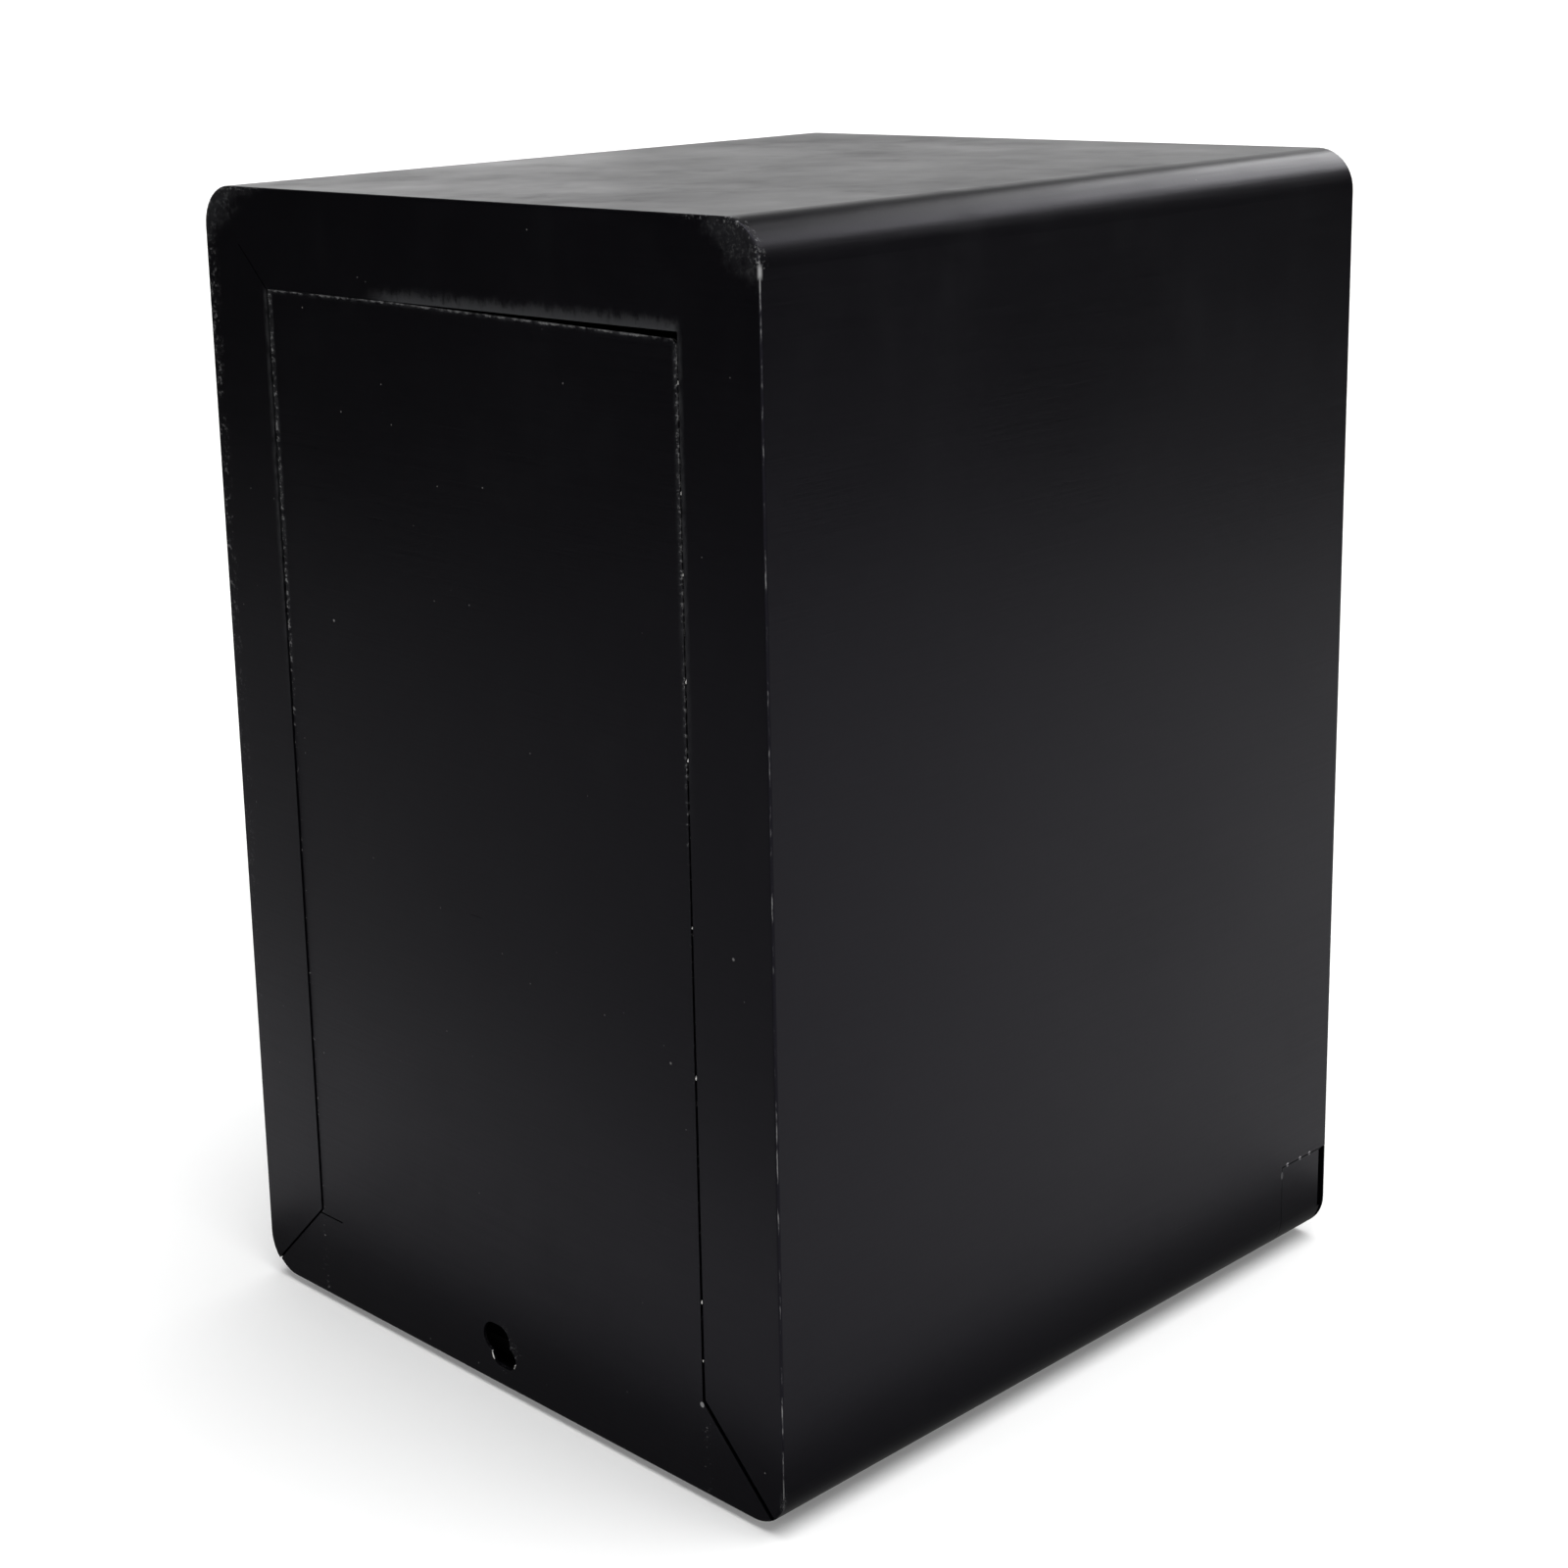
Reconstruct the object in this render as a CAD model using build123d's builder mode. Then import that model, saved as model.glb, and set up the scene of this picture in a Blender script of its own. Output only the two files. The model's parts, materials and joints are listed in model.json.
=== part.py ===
"""A compact steel book drop box: a folded body with rounded long edges and a mitred rear panel,
a push-in deposit flap over a sloping chute, a swinging baffle and a hinged door with a cam lock.

Millimetres. +Z is up and the front faces -Y. The origin is on the floor, under the middle of the
whole box with its key in the lock.
"""

import os
from math import asin, cos, degrees, radians, sin, sqrt

from build123d import *

os.makedirs("parts", exist_ok=True)

# Body
body_width = 398
body_depth = 435
body_height = 600
corner_radius = 21
sheet = 1.5
fold_radius = 1.4
bend_radius = 1.6
foot_height = 4

# Rear face
rear_flange = 50
rear_recess = 0.8
seam_gap = 0.6
open_seam_top = 1.4
open_seam_foot = 2.8
mitre_gap_open = 3.6
mitre_gap_tight = 0.9
panel_drop_tight = 0.5
panel_drop_open = 3.4
panel_drop_start = 48
panel_corner = 4
strip_lap = 12
strip_end_gap = 12
hairline_width = 0.7
hairline_depth = 0.5
hairline_length = 32
hairline_overrun = 2
relief_height = 47
relief_length = 17
relief_width = 0.8
anchor_slot_place = (1.8, 21)
anchor_slot_shift = (2.6, 4.2)
anchor_slot_radius = 8
anchor_slot_stretch = 4.4
anchor_slot_tail_radius = 6.2
anchor_slot_tail_stretch = 6

# Underside
lip_width = 60
base_side_gap = 2
base_front_gap = 6
base_return = 7
anchor_inset_x = 41
anchor_inset_y = 67.5
anchor_hole_radius = 4.5
foot_inset_x = 39
foot_inset_y = 22
foot_radius = 14
foot_chamfer = 0.8
foot_skin = 1.5
stud_radius = 2.5
stud_clearance = 0.1
stud_end = 2
nut_wall = 1.5
nut_height = 4
mat_nut_gap = 3
mat_inset_front = 60
mat_inset_rear = 20
mat_thickness = 8
mat_groove_pitch = 20
mat_groove_width = 4
mat_groove_depth = 2
soft_gap = 0.3

# Front face
front_side_flange = 30
front_top_flange = 40
sill_height = 52
sill_depth = 42
sill_seam_gap = 0.3
sill_slit_start = 0.3
sill_slit_width = 5.2
sill_slit_tail_width = 2.8
sill_slit_floor = 8
sill_slit_shoulder = 17
sill_slit_step = 40
sill_ledge = 21
sill_stop_height = 10
sill_stop_inset = 12
rail_height = 30
rail_depth = 20
rail_below_slot = 71
rail_lap = 21
fascia_lap = 16
fascia_return = 15
panel_clearance = 0.3
front_rivet_rows = 3
front_rivet_margin = 14

# Deposit slot and flap
slot_side_margin = 11
slot_top_margin = 47
slot_height = 85
slot_corner = 8
trim_wrap = 3
trim_lining = 2
trim_bead = 1.8
trim_fit = 0.05
trim_round = 0.7
flap_gap = 0.4
rod_radius = 2
rod_fit = 0.05
running_clearance = 0.08
barrel_wall = 1.6
barrel_setback = 2
flap_axis_above_slot = 13
flap_overlap = 6
flap_weight_size = 12
flap_weight_inset = 14
flap_weight_lift = 4
bracket_foot = 14
bracket_reach = 8
rod_overhang = 5
clip_wall = 1.6
clip_thickness = 1
side_play = 1

# Chute
chute_angle = 28
chute_length = 262
chute_below_slot = 12
chute_front_flange = 22
chute_side_flange = 18
chute_side_start = 10
chute_hem = 10

# Swinging baffle
baffle_side_gap = 29
baffle_setback = 150
baffle_axis_below_roof = 16
baffle_length = 172
baffle_teeth = 12
baffle_tooth_depth = 16
baffle_tooth_share = 0.55

# Collection door
door_gap = 2
door_return = 18
stiffener_width = 60
stiffener_crown = 32
stiffener_depth = 12
stiffener_end_gap = 14
bumper_size = 12
bumper_inset = 49

# Door hinges
hinge_height = 50
hinge_leaf = 23
hinge_leaf_sheet = 1.2
hinge_inset = 45
knuckle_wall = 1.75
knuckle_standoff = 0.3
knuckle_gap = 0.3
hinge_pin_radius = 1.75
hinge_pin_fit = 0.03
pin_head_lap = 1.05
pin_head_height = 1.2
hinge_rivet_place = 14
hinge_rivet_margin = 10

# Rivets
rivet_radius = 1.6
rivet_head_lap = 1.4
rivet_head_height = 1.1
rivet_tail_lap = 0.8
rivet_tail_height = 1.2
rivet_clearance = 0.05

# Cam lock
lock_edge_gap = 7.5
lock_barrel_radius = 9.5
lock_flange_lap = 3
lock_flange_height = 3
lock_flange_round = 1
lock_length = 19
lock_fit = 0.1
lock_nut_wall = 2.5
lock_nut_height = 4
plug_radius = 6.4
plug_head_lap = 1.2
plug_head_depth = 1.4
plug_clearance = 0.1
plug_tail_size = 7
cam_gap = 0.3
cam_thickness = 2
cam_reach = 31
cam_width = 14
cam_fit = 0.05
cam_screw_radius = 2
cam_screw_head = 5
cam_screw_head_height = 2
cam_screw_depth = 6
key_thickness = 2
key_blade_height = 8
key_blade_length = 13
key_face_play = 0.1
key_edge_play = 0.2
key_end_play = 1
key_notches = 4
key_notch_size = 1.6
key_neck = 4
key_bow_radius = 11
key_eye_radius = 3.2
keeper_height = 36
keeper_gap = 1
keeper_lip = 18
keeper_inset = 9

# Derived places: the key's bow reaches out in front, so the body stands half of that further back.
front_reach = lock_flange_height + key_neck + 2 * key_bow_radius
front = (front_reach - body_depth) / 2
back = front + body_depth
half_width = body_width / 2
floor_z = foot_height
top_z = floor_z + body_height
middle_z = floor_z + body_height / 2
inner_half_width = half_width - sheet
roof_z = top_z - sheet
deck_z = floor_z + 2 * sheet
opening_half_width = half_width - front_side_flange
opening_top = top_z - front_top_flange
sill_top = floor_z + sill_height
panel_back = back - rear_recess - sheet
fascia_front = front + sheet
fascia_back = fascia_front + sheet
slot_width = 2 * (opening_half_width - slot_side_margin)
slot_top = opening_top - slot_top_margin
slot_sill = slot_top - slot_height
slot_middle = (slot_sill + slot_top) / 2
rail_middle = slot_sill - rail_below_slot
rail_bottom = rail_middle - rail_height / 2
rail_top = rail_middle + rail_height / 2
barrel_radius = rod_radius + barrel_wall
knuckle_radius = hinge_pin_radius + knuckle_wall
rivet_head_radius = rivet_radius + rivet_head_lap
rivet_tail_radius = rivet_radius + rivet_tail_lap


def keep(shape, name):
    """Labels one finished piece and writes it to its own file."""
    shape.label = name
    export_step(shape, f"parts/{name}.step")


def upright(y):
    """The upright plane across the box at this depth; it extrudes towards the back by a minus amount."""
    return Plane.XZ.offset(-y)


def block(x0, x1, y0, y1, z0, z1, mode=Mode.ADD):
    """A box between two corners."""
    with Locations(((x0 + x1) / 2, (y0 + y1) / 2, (z0 + z1) / 2)):
        Box(x1 - x0, y1 - y0, z1 - z0, mode=mode)


def bar_x(radius, x0, x1, y, z, mode=Mode.ADD):
    """A round bar along X."""
    with Locations(((x0 + x1) / 2, y, z)):
        Cylinder(radius, abs(x1 - x0), rotation=(0, 90, 0), mode=mode)


def bar_y(radius, y0, y1, x, z, mode=Mode.ADD):
    """A round bar along Y."""
    with Locations((x, (y0 + y1) / 2, z)):
        Cylinder(radius, abs(y1 - y0), rotation=(90, 0, 0), mode=mode)


def bar_z(radius, z0, z1, x, y, mode=Mode.ADD):
    """A round bar along Z."""
    with Locations((x, y, (z0 + z1) / 2)):
        Cylinder(radius, abs(z1 - z0), mode=mode)


def folded(points, plane, width):
    """A folded sheet: its middle line runs through these points of a plane, and it is this wide."""
    with BuildSketch(plane) as section:
        with BuildLine():
            FilletPolyline(*points, radius=bend_radius)
        trace(line_width=sheet)
    extrude(section.sketch, amount=width)


def folded_along_x(points, x0, x1):
    """A folded sheet drawn in (y, z) and lying between two places along X."""
    folded(points, Plane.YZ.offset(x0), x1 - x0)


def folded_along_z(points, z0, z1):
    """A folded sheet drawn in (x, y) and standing between two heights."""
    folded(points, Plane.XY.offset(z0), z1 - z0)


def rivet(x, z, face_y, grip):
    """A dome-head rivet along Y: its head sits on the plane face_y and its tail behind this grip."""
    dome_radius = (rivet_head_radius**2 + rivet_head_height**2) / (2 * rivet_head_height)
    dome_offset = dome_radius - rivet_head_height
    with Locations((x, face_y + dome_offset, z)):
        Sphere(dome_radius, arc_size1=degrees(asin(dome_offset / dome_radius)), rotation=(90, 0, 0), align=None)
    bar_y(rivet_radius, face_y, face_y + grip, x, z)
    bar_y(rivet_tail_radius, face_y + grip, face_y + grip + rivet_tail_height, x, z)


def rivet_hole(x, z, y0, y1):
    """A clearance hole for one rivet."""
    bar_y(rivet_radius + rivet_clearance, y0, y1, x, z, Mode.SUBTRACT)


def rounded_tube(y0, y1, inset, mode=Mode.ADD):
    """A length of the body's rounded outline, taken in by this much all round."""
    with BuildSketch(upright(y0)) as section:
        with Locations((0, middle_z)):
            RectangleRounded(body_width - 2 * inset, body_height - 2 * inset, corner_radius - inset)
    extrude(section.sketch, amount=y0 - y1, mode=mode)


# Places that several pieces share
foot_x = half_width - foot_inset_x
foot_places = [(x, y) for x in (-foot_x, foot_x) for y in (front + foot_inset_y, back - foot_inset_y)]
anchor_x = half_width - anchor_inset_x
anchor_places = [(x, y) for x in (-anchor_x, anchor_x) for y in (front + anchor_inset_y, back - anchor_inset_y)]
front_rivet_x = opening_half_width + fascia_lap / 2
rivet_low = rail_top + front_rivet_margin
rivet_step = (opening_top - rail_top - 2 * front_rivet_margin) / (front_rivet_rows - 1)
front_rivet_places = [(x, rail_middle) for x in (-front_rivet_x, front_rivet_x)]
front_rivet_places += [
    (x, rivet_low + row * rivet_step)
    for x in (-front_rivet_x, front_rivet_x)
    for row in range(front_rivet_rows)
]

door_left = -opening_half_width + door_gap
door_right = opening_half_width - door_gap
door_bottom = sill_top + door_gap
door_top = rail_bottom - door_gap
hinge_x = -opening_half_width + door_gap / 2
hinge_y = front - knuckle_radius - knuckle_standoff
hinges = {"upper": door_top - hinge_inset, "lower": door_bottom + hinge_inset}
hinge_rivet_spacing = hinge_height - 2 * hinge_rivet_margin
hinge_rivet_heights = [
    z + side * hinge_rivet_spacing / 2 for z in hinges.values() for side in (-1, 1)
]
leaf_face = front - hinge_leaf_sheet

lock_x = door_right - lock_edge_gap - lock_barrel_radius
lock_z = (door_bottom + door_top) / 2
lock_face = front - lock_flange_height
cam_front = front + lock_length + cam_gap

flap_axis_y = fascia_back + barrel_setback + barrel_radius
flap_axis_z = slot_top + flap_axis_above_slot
flap_half_width = slot_width / 2 + flap_overlap
baffle_axis_y = front + baffle_setback
baffle_axis_z = roof_z - baffle_axis_below_roof
baffle_half_width = half_width - baffle_side_gap


# Body: top, sides and two bottom lips folded from one sheet, with return flanges front and rear.
with BuildPart() as body_wrap:
    rounded_tube(front, back, 0)
    fillet(body_wrap.faces().sort_by(Axis.Y)[0].edges(), fold_radius)
    fillet(body_wrap.faces().sort_by(Axis.Y)[-1].edges(), fold_radius)
    rounded_tube(front + sheet, back - sheet, sheet, Mode.SUBTRACT)
    block(-opening_half_width, opening_half_width, front - 1, front + sheet + 1,
          floor_z, opening_top, Mode.SUBTRACT)
    block(-half_width + rear_flange, half_width - rear_flange, back - sheet - 1, back + 1,
          floor_z, top_z - rear_flange, Mode.SUBTRACT)
    block(-half_width + lip_width, half_width - lip_width, front - 1, back + 1,
          floor_z - 1, floor_z + sheet + 1, Mode.SUBTRACT)
    block(-half_width - 1, half_width + 1, front - 1, front + sill_depth,
          floor_z - 1, floor_z + sill_height, Mode.SUBTRACT)
    with BuildSketch(upright(panel_back)):
        with BuildLine():
            Polyline(
                (-half_width + rear_flange, floor_z + rear_flange),
                (half_width - rear_flange, floor_z + rear_flange),
                (half_width + 1, floor_z - 1),
                (-half_width - 1, floor_z - 1),
                close=True,
            )
        make_face()
    extrude(amount=panel_back - back - 1, mode=Mode.SUBTRACT)
    hairline_middle = rear_flange - (hairline_length / 2 - hairline_overrun) / sqrt(2)
    with BuildSketch(upright(back - hairline_depth)):
        with Locations(Location((half_width - hairline_middle, top_z - hairline_middle), 45)):
            Rectangle(hairline_length, hairline_width)
    extrude(amount=-hairline_depth - 1, mode=Mode.SUBTRACT)
    for x, y in anchor_places:
        bar_z(anchor_hole_radius, floor_z - 1, deck_z, x, y, Mode.SUBTRACT)
    for x, y in foot_places:
        bar_z(stud_radius + stud_clearance, floor_z - 1, deck_z, x, y, Mode.SUBTRACT)
    for x, z in front_rivet_places:
        rivet_hole(x, z, front - 1, fascia_back)
    for z in hinge_rivet_heights:
        rivet_hole(hinge_x - hinge_rivet_place, z, front - 1, fascia_back)
keep(body_wrap.part, "body_wrap")

# Rear panel: one sheet with its bottom flange, mitred to the body's flanges and a little recessed.
seam_x = half_width - rear_flange - seam_gap
panel_top = top_z - rear_flange
open_x_top = half_width - rear_flange - open_seam_top
open_x_foot = half_width - rear_flange - open_seam_foot
open_run = mitre_gap_open * sqrt(2)
tight_run = mitre_gap_tight * sqrt(2)
with BuildPart() as rear_panel:
    with BuildSketch(upright(panel_back)):
        with BuildLine():
            Polyline(
                (seam_x, panel_top - panel_drop_tight),
                (panel_drop_start, panel_top - panel_drop_tight),
                (-open_x_top, panel_top - panel_drop_open),
                (-open_x_foot, floor_z + half_width - open_x_foot - open_run),
                (-half_width + open_run, floor_z),
                (half_width - tight_run, floor_z),
                (seam_x, floor_z + half_width - seam_x - tight_run),
                close=True,
            )
        make_face()
        with Locations((0, middle_z)):
            RectangleRounded(body_width, body_height, corner_radius, mode=Mode.INTERSECT)
        for side, radius, stretch in (
            (1, anchor_slot_radius, anchor_slot_stretch),
            (-1, anchor_slot_tail_radius, anchor_slot_tail_stretch),
        ):
            stroke_x = anchor_slot_place[0] + side * anchor_slot_shift[0]
            stroke_z = floor_z + anchor_slot_place[1] + side * anchor_slot_shift[1]
            with Locations((stroke_x, stroke_z)):
                SlotCenterToCenter(stretch, 2 * radius, mode=Mode.SUBTRACT)
        with Locations((seam_x, floor_z + relief_height)):
            Rectangle(2 * relief_length, relief_width, mode=Mode.SUBTRACT)
    extrude(amount=-sheet)
    hem = rear_panel.faces().sort_by(Axis.Y)[-1].edges().sort_by(Axis.Z)[0]
    fillet(hem, fold_radius)
    loose_corner = rear_panel.edges().filter_by(Axis.Y).sort_by_distance((-open_x_top, panel_back, panel_top))[0]
    fillet(loose_corner, panel_corner)
keep(rear_panel.part, "rear_panel")

# Backing strips: welded behind the two upright seams of the rear panel.
for side, name in ((-1, "rear_strip_left"), (1, "rear_strip_right")):
    seam = side * (half_width - rear_flange)
    with BuildPart() as strip:
        block(seam - strip_lap, seam + strip_lap, panel_back - sheet, panel_back,
              floor_z + rear_flange + strip_end_gap, panel_top - strip_end_gap)
    keep(strip.part, name)

# Base plate: lies on the bottom lips, with an upturned edge behind the rear panel.
base_half_width = half_width - corner_radius - base_side_gap
with BuildPart() as base_plate:
    deck_line = deck_z - sheet / 2
    folded_along_x(
        [
            (front + base_front_gap, deck_line),
            (panel_back - sheet / 2, deck_line),
            (panel_back - sheet / 2, deck_z + base_return),
        ],
        -base_half_width,
        base_half_width,
    )
    for x, y in anchor_places:
        bar_z(anchor_hole_radius, floor_z, deck_z + 1, x, y, Mode.SUBTRACT)
    for x, y in foot_places:
        bar_z(stud_radius + stud_clearance, floor_z, deck_z + 1, x, y, Mode.SUBTRACT)
keep(base_plate.part, "base_plate")

# Front sill: the folded bottom corner piece whose ears fill the notches in the body's sides.
sill_edge = sill_top - seam_gap
with BuildPart() as front_sill:
    rounded_tube(front, front + sill_depth - sill_seam_gap, 0)
    fillet(front_sill.faces().sort_by(Axis.Y)[0].edges(), fold_radius)
    rounded_tube(front + sheet, front + sill_depth, sheet, Mode.SUBTRACT)
    block(-half_width - 1, half_width + 1, front - 1, front + sill_depth,
          sill_edge, top_z + 1, Mode.SUBTRACT)
    block(-inner_half_width, inner_half_width, front + sheet, front + sill_ledge,
          sill_edge - sheet, sill_edge)
    stop_half_width = opening_half_width - sill_stop_inset
    block(-stop_half_width, stop_half_width, front + sill_ledge - sheet, front + sill_ledge,
          sill_edge - sheet, sill_top + sill_stop_height)
    for side in (-1, 1):
        x = side * half_width
        slit_y = front + sheet + sill_slit_start
        block(x - corner_radius / 2, x + corner_radius / 2, slit_y, slit_y + sill_slit_tail_width,
              floor_z + sill_slit_floor, floor_z + sill_slit_shoulder, Mode.SUBTRACT)
        block(x - corner_radius / 2, x + corner_radius / 2, slit_y, slit_y + sill_slit_width,
              floor_z + sill_slit_shoulder, floor_z + sill_slit_step, Mode.SUBTRACT)
        block(x - sheet, x + sheet, slit_y, slit_y + sill_slit_width,
              floor_z + sill_slit_step, sill_edge + 1, Mode.SUBTRACT)
    for x, y in foot_places:
        bar_z(stud_radius + stud_clearance, floor_z - 1, deck_z, x, y, Mode.SUBTRACT)
keep(front_sill.part, "front_sill")

# Cross rail: a channel between the door and the fascia, riveted behind the side flanges.
rail_half_width = opening_half_width + rail_lap
with BuildPart() as cross_rail:
    rail_line = fascia_front + sheet / 2
    folded_along_x(
        [
            (fascia_front + rail_depth, rail_top - sheet / 2),
            (rail_line, rail_top - sheet / 2),
            (rail_line, rail_bottom + sheet / 2),
            (fascia_front + rail_depth, rail_bottom + sheet / 2),
        ],
        -rail_half_width,
        rail_half_width,
    )
    for x in (-front_rivet_x, front_rivet_x):
        rivet_hole(x, rail_middle, front - 1, fascia_back + 1)
keep(cross_rail.part, "cross_rail")

# Fascia: the fixed upper front, behind the body's flanges, with the deposit slot in it.
fascia_half_width = opening_half_width + fascia_lap
with BuildPart() as front_fascia:
    fascia_line = fascia_front + sheet / 2
    fascia_foot = rail_top + panel_clearance + sheet / 2
    folded_along_x(
        [
            (fascia_line, opening_top + fascia_lap),
            (fascia_line, fascia_foot),
            (fascia_front + fascia_return, fascia_foot),
        ],
        -fascia_half_width,
        fascia_half_width,
    )
    with BuildSketch(upright(front)):
        with Locations((0, slot_middle)):
            RectangleRounded(slot_width, slot_height, slot_corner)
    extrude(amount=-2 * sheet - 1, mode=Mode.SUBTRACT)
    for x, z in front_rivet_places:
        rivet_hole(x, z, front - 1, fascia_back + 1)
keep(front_fascia.part, "front_fascia")

# Slot trim: a moulded edging that grips the rim of the slot.
with BuildPart() as slot_trim:
    with BuildSketch(upright(fascia_front - trim_bead)):
        with Locations((0, slot_middle)):
            RectangleRounded(slot_width + 2 * trim_wrap, slot_height + 2 * trim_wrap, slot_corner + trim_wrap)
    extrude(amount=-sheet - 2 * trim_bead)
    with BuildSketch(upright(fascia_front - trim_bead - 1)):
        with Locations((0, slot_middle)):
            RectangleRounded(slot_width - 2 * trim_lining, slot_height - 2 * trim_lining,
                             slot_corner - trim_lining)
    extrude(amount=-sheet - 2 * trim_bead - 2, mode=Mode.SUBTRACT)
    fillet(slot_trim.faces().sort_by(Axis.Y)[0].edges(), trim_round)
    fillet(slot_trim.faces().sort_by(Axis.Y)[-1].edges(), trim_round)
    with BuildSketch(upright(fascia_front - trim_fit)):
        with Locations((0, slot_middle)):
            RectangleRounded(slot_width + 4 * trim_wrap, slot_height + 4 * trim_wrap, slot_corner)
            RectangleRounded(slot_width - 2 * trim_fit, slot_height - 2 * trim_fit,
                             slot_corner - trim_fit, mode=Mode.SUBTRACT)
    extrude(amount=-sheet - 2 * trim_fit, mode=Mode.SUBTRACT)
keep(slot_trim.part, "slot_trim")

# Rivets that hold the fascia and the rail to the side flanges.
with BuildPart() as front_rivets:
    for x, z in front_rivet_places:
        rivet(x, z, front, 2 * sheet)
keep(front_rivets.part, "front_rivets")

# Deposit flap: a plate with a rolled top edge that turns on a rod, and a weight bar that closes it.
flap_face = fascia_back + trim_bead + flap_gap
flap_foot = slot_sill - flap_overlap
with BuildPart() as deposit_flap:
    block(-flap_half_width, flap_half_width, flap_face, flap_face + sheet, flap_foot, flap_axis_z)
    bar_x(barrel_radius, -flap_half_width, flap_half_width, flap_axis_y, flap_axis_z)
    bar_x(rod_radius + running_clearance, -flap_half_width, flap_half_width,
          flap_axis_y, flap_axis_z, Mode.SUBTRACT)
keep(deposit_flap.part, "deposit_flap")

with BuildPart() as flap_weight:
    weight_foot = flap_foot + flap_weight_lift
    weight_half_width = flap_half_width - flap_weight_inset
    block(-weight_half_width, weight_half_width, flap_face + sheet, flap_face + sheet + flap_weight_size,
          weight_foot, weight_foot + flap_weight_size)
    chamfer(flap_weight.edges().filter_by(Axis.X).group_by(Axis.Y)[-1], flap_weight_size / 6)
keep(flap_weight.part, "flap_weight")

# Flap brackets, rod and retaining clips
flap_web = flap_half_width + side_play
for side, name in ((-1, "flap_bracket_left"), (1, "flap_bracket_right")):
    with BuildPart() as bracket:
        folded_along_z(
            [
                (side * (flap_web + bracket_foot), fascia_back + sheet / 2),
                (side * (flap_web + sheet / 2), fascia_back + sheet / 2),
                (side * (flap_web + sheet / 2), flap_axis_y + bracket_reach),
            ],
            flap_axis_z - bracket_reach,
            flap_axis_z + bracket_reach,
        )
        bar_x(rod_radius + rod_fit, side * (flap_web - 1), side * (flap_web + sheet + 1),
              flap_axis_y, flap_axis_z, Mode.SUBTRACT)
    keep(bracket.part, name)

with BuildPart() as flap_rod:
    rod_end = flap_web + sheet + rod_overhang
    bar_x(rod_radius, -rod_end, rod_end, flap_axis_y, flap_axis_z)
    chamfer(flap_rod.edges().filter_by(GeomType.CIRCLE), rod_radius / 5)
keep(flap_rod.part, "flap_rod")

# Baffle brackets hang from the roof.
baffle_web = baffle_half_width + side_play
for side, name in ((-1, "baffle_bracket_left"), (1, "baffle_bracket_right")):
    with BuildPart() as bracket:
        with BuildSketch(Plane.XZ.offset(-(baffle_axis_y - bracket_reach))):
            with BuildLine():
                FilletPolyline(
                    (side * (baffle_web - bracket_foot), roof_z - sheet / 2),
                    (side * (baffle_web + sheet / 2), roof_z - sheet / 2),
                    (side * (baffle_web + sheet / 2), baffle_axis_z - bracket_reach),
                    radius=bend_radius,
                )
            trace(line_width=sheet)
        extrude(amount=-2 * bracket_reach)
        bar_x(rod_radius + rod_fit, side * (baffle_web - 1), side * (baffle_web + sheet + 1),
              baffle_axis_y, baffle_axis_z, Mode.SUBTRACT)
    keep(bracket.part, name)

with BuildPart() as baffle_rod:
    rod_end = baffle_web + sheet + rod_overhang
    bar_x(rod_radius, -rod_end, rod_end, baffle_axis_y, baffle_axis_z)
    chamfer(baffle_rod.edges().filter_by(GeomType.CIRCLE), rod_radius / 5)
keep(baffle_rod.part, "baffle_rod")

# Clips snap on the rods just outside the brackets.
for web, y, z, name in (
    (flap_web, flap_axis_y, flap_axis_z, "flap_clips"),
    (baffle_web, baffle_axis_y, baffle_axis_z, "baffle_clips"),
):
    with BuildPart() as clips:
        for side in (-1, 1):
            inner = web + sheet + panel_clearance
            bar_x(rod_radius + clip_wall, side * inner, side * (inner + clip_thickness), y, z)
        bar_x(rod_radius + rod_fit, -half_width, half_width, y, z, Mode.SUBTRACT)
    keep(clips.part, name)

# Swinging baffle: a comb-edged plate that lets books pass and stops hands.
with BuildPart() as baffle:
    block(-baffle_half_width, baffle_half_width, baffle_axis_y - sheet / 2, baffle_axis_y + sheet / 2,
          baffle_axis_z - baffle_length, baffle_axis_z)
    bar_x(barrel_radius, -baffle_half_width, baffle_half_width, baffle_axis_y, baffle_axis_z)
    bar_x(rod_radius + running_clearance, -baffle_half_width, baffle_half_width,
          baffle_axis_y, baffle_axis_z, Mode.SUBTRACT)
    tooth_pitch = 2 * baffle_half_width / (baffle_teeth - 1 + baffle_tooth_share)
    gap_width = tooth_pitch * (1 - baffle_tooth_share)
    tooth_floor = baffle_axis_z - baffle_length
    for gap in range(baffle_teeth - 1):
        gap_x = -baffle_half_width + (gap + 1) * tooth_pitch - gap_width
        block(gap_x, gap_x + gap_width, baffle_axis_y - sheet, baffle_axis_y + sheet,
              tooth_floor - 1, tooth_floor + baffle_tooth_depth, Mode.SUBTRACT)
keep(baffle.part, "baffle")

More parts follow.
